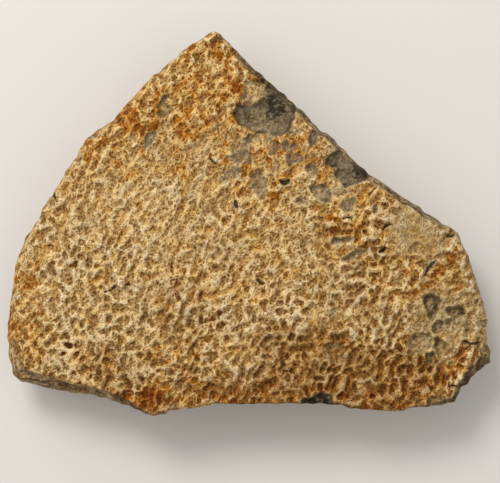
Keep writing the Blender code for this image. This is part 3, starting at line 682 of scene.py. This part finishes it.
def shell_mesh():
    """The closed surface and what its finish needs to know at each point."""
    maps = face_maps()
    rng = np.random.default_rng(SEED + 1)
    rolls = rolling(rng, 9)
    rim = outline(OUTLINE_SPACING)
    middle = np.array(MIDDLE)
    reach = np.hypot(*(rim - middle).T)
    set_in = edge_at(*rim.T)[2]
    foot = middle + (rim - middle) * (1 - set_in / reach)[:, None]

    top, top_faces, top_ring = sheet(rim, TOP_SPACING)
    inset = np.maximum(depth_inside(rim, *top.T), 0)
    marks = {name: read_map(field, *top.T) for name, field in maps.items()}
    top_z = upper_height(*top.T, inset, marks.pop("relief"))
    base, base_faces, base_ring = sheet(foot, UNDERSIDE_SPACING)
    base_inset = np.maximum(depth_inside(foot, *base.T), 0)
    base_z = under_height(*base.T, base_inset, rolls)

    points = [np.column_stack([top, top_z])]
    down_here = [np.zeros(len(top))]
    rings = [np.array(top_ring)]
    filled = len(top)
    turn = np.arctan2(*(rim - middle).T[::-1])
    phases = rng.uniform(0, 2 * np.pi, (6, 2))
    for i in range(1, WALL_ROWS):
        down = i / WALL_ROWS
        in_here = set_in * down**WALL_CURVE + wall_inset(down, turn, phases)
        ring = middle + (rim - middle) * (1 - in_here / reach)[:, None]
        height = top_z[top_ring] * (1 - down) + base_z[base_ring] * down
        tear = broken(np.column_stack([ring, height])) * np.sin(np.pi * down) ** 0.5
        torn = TEAR_LOW + np.clip(tear, -TEAR_LOW, TEAR_HIGH)
        ring = ring - (rim - middle) * (torn / reach)[:, None]
        points.append(np.column_stack([ring, height]))
        down_here.append(np.full(len(rim), down))
        rings.append(filled + np.arange(len(rim)))
        filled += len(rim)
    points.append(np.column_stack([base, base_z]))
    down_here.append(np.ones(len(base)))
    rings.append(filled + np.array(base_ring))

    faces = [tuple(face) for face in top_faces]
    for upper, lower in zip(rings, rings[1:]):
        for a, b, c, d in zip(upper, np.roll(upper, -1), lower, np.roll(lower, -1)):
            faces += [(a, c, b), (b, c, d)]
    faces += [tuple(filled + i for i in reversed(face)) for face in base_faces]

    points = np.concatenate(points)
    count = len(points)
    marks = {name: from_face(values, count) for name, values in marks.items()}
    bevel = 1 - inset / edge_at(*top.T)[0]
    direction = np.degrees(np.arctan2(top[:, 1] - MIDDLE[1], top[:, 0] - MIDDLE[0]))
    bare = np.interp(direction, *np.array(EDGE_STONE).T, period=360)
    marks["strip"] = from_face(bare * smooth_step(bevel / 0.3), count)
    marks["bevel"] = from_face(np.clip(bevel, 0, 1), count, 1.0)
    marks["side"] = from_face(np.zeros(len(top)), count, 1.0)
    marks["under"] = from_face(np.zeros(filled), count, 1.0)
    marks["down"] = np.concatenate(down_here)
    return points, faces, marks


def shell():
    """The shell as one piece, sized to the solid's box."""
    points, faces, marks = shell_mesh()
    low, high = points.min(axis=0), points.max(axis=0)
    points = np.array(LOW) + (points - low) / (high - low) * (np.array(HIGH) - np.array(LOW))
    mesh = bpy.data.meshes.new("sculptured_shell")
    mesh.from_pydata(points.tolist(), [], [tuple(map(int, face)) for face in faces])
    for name, values in marks.items():
        mesh.attributes.new(name, "FLOAT", "POINT").data.foreach_set("value", values)
    mesh.shade_smooth()
    mesh.materials.append(fossil_bone())
    piece = bpy.data.objects.new("sculptured_shell", mesh)
    bpy.context.scene.collection.objects.link(piece)
    return piece


class Value:
    """One output of a shader node. Arithmetic on it adds Math nodes."""

    def __init__(self, finish, socket):
        self.finish = finish
        self.socket = socket

    def worked(self, operation, *numbers):
        sockets = dict(enumerate(numbers))
        return self.finish.node("ShaderNodeMath", {"operation": operation}, sockets)

    def __add__(self, other):
        return self.worked("ADD", self, other)

    def __sub__(self, other):
        return self.worked("SUBTRACT", self, other)

    def __rsub__(self, other):
        return self.worked("SUBTRACT", other, self)

    def __mul__(self, other):
        return self.worked("MULTIPLY", self, other)

    __radd__ = __add__
    __rmul__ = __mul__

    def __abs__(self):
        return self.worked("ABSOLUTE", self)

    def other(self, name):
        """Another output of the same node."""
        return Value(self.finish, self.socket.node.outputs[name])

    def floor(self):
        return self.worked("FLOOR", self)

    def fraction(self):
        return self.worked("FRACT", self)

    def between(self, low, high):
        """Zero at low and one at high, smooth between them and level beyond."""
        settings = {"interpolation_type": "SMOOTHSTEP"}
        sockets = {"Value": self, "From Min": low, "From Max": high}
        return self.finish.node("ShaderNodeMapRange", settings, sockets)


class Finish:
    """A material, with the ways that its nodes are made and joined."""

    def __init__(self, name):
        self.material = bpy.data.materials.new(name)
        self.material.use_nodes = True
        self.tree = self.material.node_tree
        self.surface = self.tree.nodes["Principled BSDF"]

    def feed(self, socket, value):
        if isinstance(value, Value):
            self.tree.links.new(value.socket, socket)
        else:
            socket.default_value = value

    def node(self, kind, settings=None, sockets=None, output=0):
        made = self.tree.nodes.new(kind)
        for name, setting in (settings or {}).items():
            setattr(made, name, setting)
        for name, value in (sockets or {}).items():
            self.feed(made.inputs[name], value)
        return Value(self, made.outputs[output])

    def set(self, name, value):
        self.feed(self.surface.inputs[name], value)

    def mark(self, name):
        return self.node("ShaderNodeAttribute", {"attribute_name": name}, output="Fac")

    def mixed(self, below, above, share, way="MIX"):
        settings = {"data_type": "RGBA", "blend_type": way}
        return self.node("ShaderNodeMix", settings, {0: share, 6: below, 7: above}, 2)

    def spread(self, stretch=(1, 1, 1), turn=0.0):
        """Places on the piece in millimetres, turned about Z and drawn out along the axes."""
        scale = tuple(part / MM for part in stretch)
        place = self.node("ShaderNodeTexCoord", output="Object")
        if turn:
            sockets = {"Vector": place, "Angle": -turn}
            place = self.node("ShaderNodeVectorRotate", {"rotation_type": "Z_AXIS"}, sockets)
        return self.node("ShaderNodeVectorMath", {"operation": "MULTIPLY"}, {0: place, 1: scale})

    def cloud(self, size, detail=2.0, roughness=0.5, stretch=(1, 1, 1), turn=0.0):
        """Noise between 0 and 1 with features of about this size in millimetres."""
        sockets = {
            "Vector": self.spread(stretch, turn),
            "Scale": 1 / size,
            "Detail": detail,
            "Roughness": roughness,
        }
        return self.node("ShaderNodeTexNoise", sockets=sockets, output=0)

    def worms(self, size, width, turn):
        """Winding ridges about this far apart that run mostly one way: one along their tops."""
        wave = self.cloud(size, 1, 0.4, (0.6, 1, 1), turn)
        return abs(wave - 0.5).between(width, 0.1 * width)

    def shaken(self, size, stretch=(1, 1, 1)):
        """Places pushed about, so that what lies on them has uneven sides."""
        place = self.spread(stretch)
        push = self.node("ShaderNodeTexNoise", {}, {"Vector": place, "Scale": 1.1 / size}, 1)
        push = self.node("ShaderNodeVectorMath", {"operation": "SCALE"}, {0: push, "Scale": size})
        return self.node("ShaderNodeVectorMath", {"operation": "ADD"}, {0: place, 1: push})

    def granules(self, size):
        """Rounded grains of this size: one at their tops and zero in the gaps between them."""
        settings = {"feature": "SMOOTH_F1"}
        sockets = {"Vector": self.shaken(size), "Scale": 1 / size, "Smoothness": 0.3}
        return self.node("ShaderNodeTexVoronoi", settings, sockets).between(0.75, 0.15)

    def specks(self, size, radius, share, stretch=(1, 1, 1)):
        """Uneven specks, one in some of the cells of this size: one at a speck's middle."""
        sockets = {"Vector": self.shaken(size, stretch), "Scale": 1 / size}
        distance = self.node("ShaderNodeTexVoronoi", sockets=sockets, output="Distance")
        chance = self.node("ShaderNodeSeparateColor", sockets={0: distance.other("Color")})
        chosen = chance.between(share, share - 0.1)
        return distance.between(radius / size, 0.35 * radius / size) * chosen


def paint(red, green, blue):
    """A colour given as a display's 0 to 255, as the shader wants it."""
    return tuple(((c / 255 + 0.055) / 1.055) ** 2.4 for c in (red, green, blue)) + (1,)


CREAM = paint(224, 195, 143)
TAN = paint(184, 148, 92)
PIT_BROWN = paint(108, 72, 28)
PIT_TAN = paint(150, 112, 56)
GREY = paint(144, 126, 96)
BEIGE_GREY = paint(166, 145, 110)
DARK_GREY = paint(88, 76, 57)
BLACK_GREY = paint(50, 42, 31)
DUST = paint(186, 168, 136)
PLASTER = paint(188, 162, 118)
HIGHLIGHT = paint(238, 217, 178)
SHADE = paint(34, 20, 10)
LAYER_BROWN = paint(64, 54, 41)
LAYER_GREY = paint(156, 136, 104)
LAYER_CREAM = paint(206, 182, 140)
EDGE_BROWN = paint(140, 112, 72)
EDGE_CREAM = paint(214, 186, 138)
EDGE_DARK = paint(96, 84, 66)
EDGE_GREY = paint(158, 142, 114)
UNDER_BROWN = paint(128, 98, 58)
UNDER_CREAM = paint(200, 170, 122)
UNDER_DARK = paint(108, 92, 68)
UNDER_GREY = paint(168, 150, 117)
FLOOR_WHITE = paint(217, 213, 208)

# Stains tint what they lie on; the gap tint lays painted shade in the gaps between grains and down
# in the pits
GAP_SHADE_TINT = (0.36, 0.23, 0.085, 1)
OCHRE_TINT = (0.82, 0.59, 0.21, 1)
YELLOW_TINT = (0.95, 0.81, 0.54, 1)
GOLD_TINT = (0.97, 0.86, 0.54, 1)
ASH_TINT = (0.87, 0.91, 1.00, 1)
BROWN_TINT = (0.60, 0.46, 0.29, 1)
BURNT_TINT = (0.79, 0.58, 0.34, 1)
RUST_TINT = (0.42, 0.23, 0.11, 1)


def bare_stone(finish):
    """Grey stone that fills the bone, seen on the floors of flakes: streaked, black in places."""
    streaks = finish.cloud(1.1, 3, 0.65, (0.6, 1, 1))
    cloud = finish.cloud(3.2, 2, 0.5)
    deep = finish.mark("grey").between(0.5, 0.95)
    tone = (streaks * 0.5 + cloud * 0.5).between(0.36, 0.63)
    stone = finish.mixed(DARK_GREY, GREY, tone)
    stone = finish.mixed(finish.mixed(GREY, BEIGE_GREY, tone), stone, deep)
    black = (finish.mark("dark") + cloud * 1.6).between(1.15, 1.65)
    stone = finish.mixed(stone, BLACK_GREY, black)
    dust = finish.cloud(0.8, 3, 0.7, (0.5, 1.2, 1), RIGHT_TURN).between(0.50, 0.66)
    return finish.mixed(stone, DUST, dust * 0.45)


def upper_face(finish):
    """Colour and fine height, in millimetres, of the sculptured face."""
    fine = finish.cloud(0.30, 1, 0.5)
    grain = finish.cloud(0.55, 2, 0.6)
    blotch = finish.cloud(1.7, 3, 0.6)
    broad = finish.cloud(7.5, 3, 0.55)
    granule = finish.granules(0.75)
    worm = finish.worms(1.05, 0.10, UPPER_TURN)
    pale = finish.mark("pale")
    grit = fine.between(0.32, 0.66) * 0.20 + grain.between(0.34, 0.64) * 0.28
    grit = grit + granule * 0.14 + worm * 0.38
    worn = finish.mark("crest") + (grit - 0.5) * 0.24 + (blotch - 0.5) * 0.25
    ridge = worn.between(-0.16, 0.16)
    hollow = worn.between(0.0, -0.45)
    bone = finish.mixed(TAN, CREAM, ridge)
    bone = finish.mixed(bone, finish.mixed(PIT_BROWN, PIT_TAN, pale * 0.8), hollow * 0.30)
    bone = finish.mixed(bone, CREAM, pale * broad.between(0.3, 0.6) * 0.3)
    plaster = finish.mark("smooth") * (0.45 + blotch.between(0.3, 0.6) * 0.4)
    bone = finish.mixed(bone, PLASTER, plaster)
    bone = finish.mixed(bone, HIGHLIGHT, worn.between(0.14, 0.36) * 0.6)

    patchy = finish.cloud(3.2, 3, 0.65)
    stain = finish.mark("ochre") + (blotch - 0.5) * 2.4 + (patchy - 0.5) * 3.0 + (broad - 0.5) * 1.5
    ochre = (stain - grit * 0.9).between(0.2, 0.7) * (1 - hollow * 0.3)
    ochre = ochre * (1 - finish.mark("smooth") * 0.5)
    yellow = (stain + (grain - 0.5) * 1.2).between(0.0, 0.45)
    rubbed = worn.between(0.06, 0.30)
    bone = finish.mixed(bone, YELLOW_TINT, yellow * (0.70 - rubbed * 0.5), "MULTIPLY")
    drift = finish.cloud(4.5, 2, 0.5)
    bone = finish.mixed(bone, GOLD_TINT, drift.between(0.50, 0.64) * 0.5, "MULTIPLY")
    bone = finish.mixed(bone, ASH_TINT, drift.between(0.50, 0.36) * 0.7, "MULTIPLY")
    bone = finish.mixed(bone, OCHRE_TINT, ochre * (1 - rubbed * 0.4), "MULTIPLY")
    burnt = (stain + (grain - 0.5) * 2.5 + (fine - 0.5)).between(0.95, 1.40)
    bone = finish.mixed(bone, BURNT_TINT, burnt * (1 - pale * 0.5), "MULTIPLY")
    rust = (finish.mark("rust") + (blotch - 0.5) * 0.8).between(0.3, 0.6)
    bone = finish.mixed(bone, RUST_TINT, rust * worn.between(0.05, -0.12), "MULTIPLY")

    bare = (finish.mark("grey") + (blotch - 0.5) * 0.8 - ridge * 0.2).between(0.15, 0.75)
    strip = (finish.mark("strip") + (blotch - 0.5) * 1.2).between(0.35, 0.75)
    bone = finish.mixed(bone, bare_stone(finish), bare)
    bone = finish.mixed(bone, layered_stone(finish), strip * 0.85)
    earth = (finish.mark("brown") + (broad - 0.5) * 1.2).between(0.2, 0.9)
    earth = earth * (1 - bare * 0.8) * (1 - rubbed * 0.3)
    bone = finish.mixed(bone, BROWN_TINT, earth, "MULTIPLY")

    pores = finish.specks(0.9, 0.30, 0.45) * broad.between(0.40, 0.60)
    holes = finish.specks(2.2, 0.36, 0.18)
    bored = finish.specks(0.75, 0.38, 0.6) * finish.mark("bevel").between(0.1, 0.5)
    dark = pores * (1 - bare * 0.7) * 0.2 + holes + bored * 0.65
    # painted shade in the deepest part of the pits; the specks and holes above are real dark pores
    dark = dark + worn.between(-0.34, -0.60) * (1 - pale * 0.5) * 0.3
    bone = finish.mixed(bone, SHADE, dark * 0.8)
    bone = finish.mixed(bone, SHADE, finish.mark("crack").between(0.15, 0.75) * 0.88)
    # painted shade in the gaps between grains and down in the pits
    gaps = (grit + finish.mark("crest") * 0.15).between(0.56, 0.10)
    gaps = gaps * (1 - bare * 0.3 - finish.mark("smooth") * 0.35)
    bone = finish.mixed(bone, GAP_SHADE_TINT, gaps, "MULTIPLY")
    level = finish.cloud(3.2, 2, 0.55) * 9
    lifted = finish.mark("smooth").between(0.2, 0.7) + bare * 0.5
    rift = level.fraction().between(0.16, 0.02) * lifted
    # painted shade along the foot of flake walls, and dark rifts between the terraces
    foot = finish.mark("foot") * grain.between(0.30, 0.50)
    bone = finish.mixed(bone, SHADE, foot * 0.6 + rift * 0.6)
    height = fine * 0.09 + grain * 0.16 + (granule * 0.13 + worm * 0.17) * (1 - bare * 0.75)
    height = height + blotch * 0.15 - dark * 0.15 + finish.mark("crest") * 0.35
    height = height + level.floor() * lifted * 0.10
    return bone, height


def layered_stone(finish):
    """Thin grey and pale layers, seen end on where the edge is torn, with a painted highlight along
    the outer rim.
    """
    layers = finish.cloud(2.2, 2, 0.7, (0.3, 0.3, 1.7))
    stone = finish.mixed(LAYER_BROWN, LAYER_GREY, layers.between(0.36, 0.54))
    stone = finish.mixed(stone, LAYER_CREAM, layers.between(0.55, 0.62) * 0.9)
    # painted highlight along the outermost edge of the slope
    stone = finish.mixed(stone, LAYER_CREAM, finish.mark("bevel").between(0.7, 0.95) * 0.6)
    beds = finish.cloud(3.0, 2, 0.5, (0.15, 0.15, 1.2)) * 5
    lines = beds.fraction().between(0.40, 0.05)
    stone = finish.mixed(stone, BLACK_GREY, lines * 0.7)
    # nearly black stone, and painted shade on the lower right corner facet
    return finish.mixed(stone, BLACK_GREY, finish.mark("dark") * 0.85)


def broken_edge(finish):
    """Colour and fine height of the broken edges: dense bone, with spongy bone between."""
    layers = finish.cloud(2.6, 3, 0.6, (0.18, 0.18, 1.5))
    grain = finish.cloud(0.7, 3, 0.65)
    fine = finish.cloud(0.35, 1, 0.5)
    cloud = finish.cloud(7, 3, 0.55, (1, 1, 0.7))
    patches = finish.cloud(4, 3, 0.6, (0.8, 0.8, 1.2))
    deep = finish.mark("down") + (layers - 0.5) * 0.5
    spongy = deep.between(0.12, 0.30) * deep.between(0.92, 0.74)
    small = finish.specks(1.0, 0.42, 0.6, (0.8, 0.8, 1.2))
    large = finish.specks(2.1, 0.8, 0.35, (0.8, 0.8, 1.3))
    pores = (small * 0.7 + large) * spongy * patches.between(0.40, 0.56)
    wave = finish.cloud(3.0, 2, 0.5, (0.2, 0.2, 1.1)) - 0.5
    rift = abs(wave).between(0.028, 0.004) * patches.between(0.56, 0.44)
    bone = finish.mixed(EDGE_BROWN, EDGE_CREAM, (layers + grain * 0.4).between(0.5, 0.85))
    stone = finish.mixed(EDGE_DARK, EDGE_GREY, (grain + cloud * 0.6).between(0.6, 1.0))
    bone = finish.mixed(bone, stone, cloud.between(0.44, 0.58) * 0.85)
    bone = finish.mixed(bone, OCHRE_TINT, patches.between(0.46, 0.34) * 0.8, "MULTIPLY")
    bone = finish.mixed(bone, BROWN_TINT, spongy * 0.5, "MULTIPLY")
    bone = finish.mixed(bone, SHADE, pores * 0.75 + rift * 0.8)
    # painted shade where the grain is low, in the gaps between grains
    gaps = (grain * 0.6 + fine * 0.4).between(0.52, 0.32)
    bone = finish.mixed(bone, GAP_SHADE_TINT, gaps * 0.7, "MULTIPLY")
    return bone, layers * 0.8 + grain * 0.35 + fine * 0.06 - pores * 0.5 - rift * 0.4


def underside(finish):
    """Colour and fine height of the face it lies on: worn bone with stone left on it."""
    fibres = finish.cloud(1.6, 3, 0.6, (0.3, 1, 1))
    blotch = finish.cloud(9, 4, 0.6)
    grain = finish.cloud(0.7, 3, 0.65)
    granule = finish.granules(1.3)
    pores = finish.specks(2.0, 0.45, 0.45)
    bone = finish.mixed(UNDER_BROWN, UNDER_CREAM, (fibres + grain * 0.5).between(0.55, 0.95))
    stone = finish.mixed(UNDER_DARK, UNDER_GREY, (grain + granule * 0.1).between(0.35, 0.7))
    bone = finish.mixed(bone, stone, (blotch + grain * 0.4).between(0.66, 0.86))
    bone = finish.mixed(bone, OCHRE_TINT, blotch.between(0.46, 0.34) * 0.7, "MULTIPLY")
    bone = finish.mixed(bone, SHADE, pores * 0.7)
    # painted shade where the grain is low, in the gaps between granules
    gaps = (grain + granule * 0.1).between(0.54, 0.32)
    bone = finish.mixed(bone, GAP_SHADE_TINT, gaps * 0.7, "MULTIPLY")
    return bone, fibres * 0.2 + grain * 0.3 + granule * 0.08 - pores * 0.2


def fossil_bone():
    """One finish for the whole piece: its face, its broken edges and the side it lies on."""
    finish = Finish("fossil_bone")
    face, face_height = upper_face(finish)
    edge, edge_height = broken_edge(finish)
    below, below_height = underside(finish)
    side = finish.mark("side")
    under = finish.mark("under")
    colour = finish.mixed(face, edge, side)
    colour = finish.mixed(colour, below, under)
    height = face_height * (1 - side) + edge_height * (side - under) + below_height * under
    bump = finish.node("ShaderNodeBump", {}, {"Distance": MM, "Height": height, "Strength": 1.0})
    finish.set("Base Color", colour)
    finish.set("Roughness", 0.80 + 0.12 * finish.cloud(1.2))
    finish.set("Normal", bump)
    finish.set("Specular IOR Level", 0.15)
    return finish.material


def floor_finish():
    finish = Finish("pale_floor")
    finish.set("Base Color", FLOOR_WHITE)
    finish.set("Roughness", 0.9)
    return finish.material


# Floor, light and camera, in metres
FLOOR_HALF = 1.5
CAMERA_HEIGHT = 4.0226 * LENGTH
CAMERA_OVER = (0.0001, -0.0043)
SEEN_ACROSS = 1.028 * LENGTH  # width of what the camera sees, at this height
SEEN_AT = 0.602 * HIGH.z
SENSOR = 36.0
DAYLIGHT = (1.0, 0.985, 0.962)


def floor():
    mesh = bpy.data.meshes.new("floor")
    corners = [(-1, -1), (1, -1), (1, 1), (-1, 1)]
    points = [(x * FLOOR_HALF, y * FLOOR_HALF, LOW.z) for x, y in corners]
    mesh.from_pydata(points, [], [(0, 1, 2, 3)])
    mesh.materials.append(floor_finish())
    made = bpy.data.objects.new("floor", mesh)
    bpy.context.scene.collection.objects.link(made)
    return made


def lamp(name, place, size, watts):
    """A round soft lamp, aimed at the middle of the floor."""
    light = bpy.data.lights.new(name, "AREA")
    light.shape = "DISK"
    light.size = size
    light.energy = watts
    light.color = DAYLIGHT
    made = bpy.data.objects.new(name, light)
    made.location = place
    made.rotation_euler = (-Vector(place)).to_track_quat("-Z", "Y").to_euler()
    bpy.context.scene.collection.objects.link(made)


def lighting():
    lamp("key", (-0.22, 0.38, 0.60), 0.28, 2.64)
    lamp("window", (-0.45, 0.45, 0.60), 1.00, 2.35)
    world = bpy.data.worlds.new("studio")
    world.use_nodes = True
    backdrop = world.node_tree.nodes["Background"]
    backdrop.inputs["Color"].default_value = DAYLIGHT + (1,)
    backdrop.inputs["Strength"].default_value = 0.61
    bpy.context.scene.world = world
    bpy.context.scene.view_settings.view_transform = "Standard"


def camera():
    view = bpy.data.cameras.new("camera")
    view.sensor_width = SENSOR
    view.lens = SENSOR * (CAMERA_HEIGHT - SEEN_AT) / SEEN_ACROSS
    made = bpy.data.objects.new("camera", view)
    made.location = (*CAMERA_OVER, CAMERA_HEIGHT)
    bpy.context.scene.collection.objects.link(made)
    bpy.context.scene.camera = made


camera()
lighting()
floor()
piece = shell()
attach(piece, "root")
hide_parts("turtle_shell")
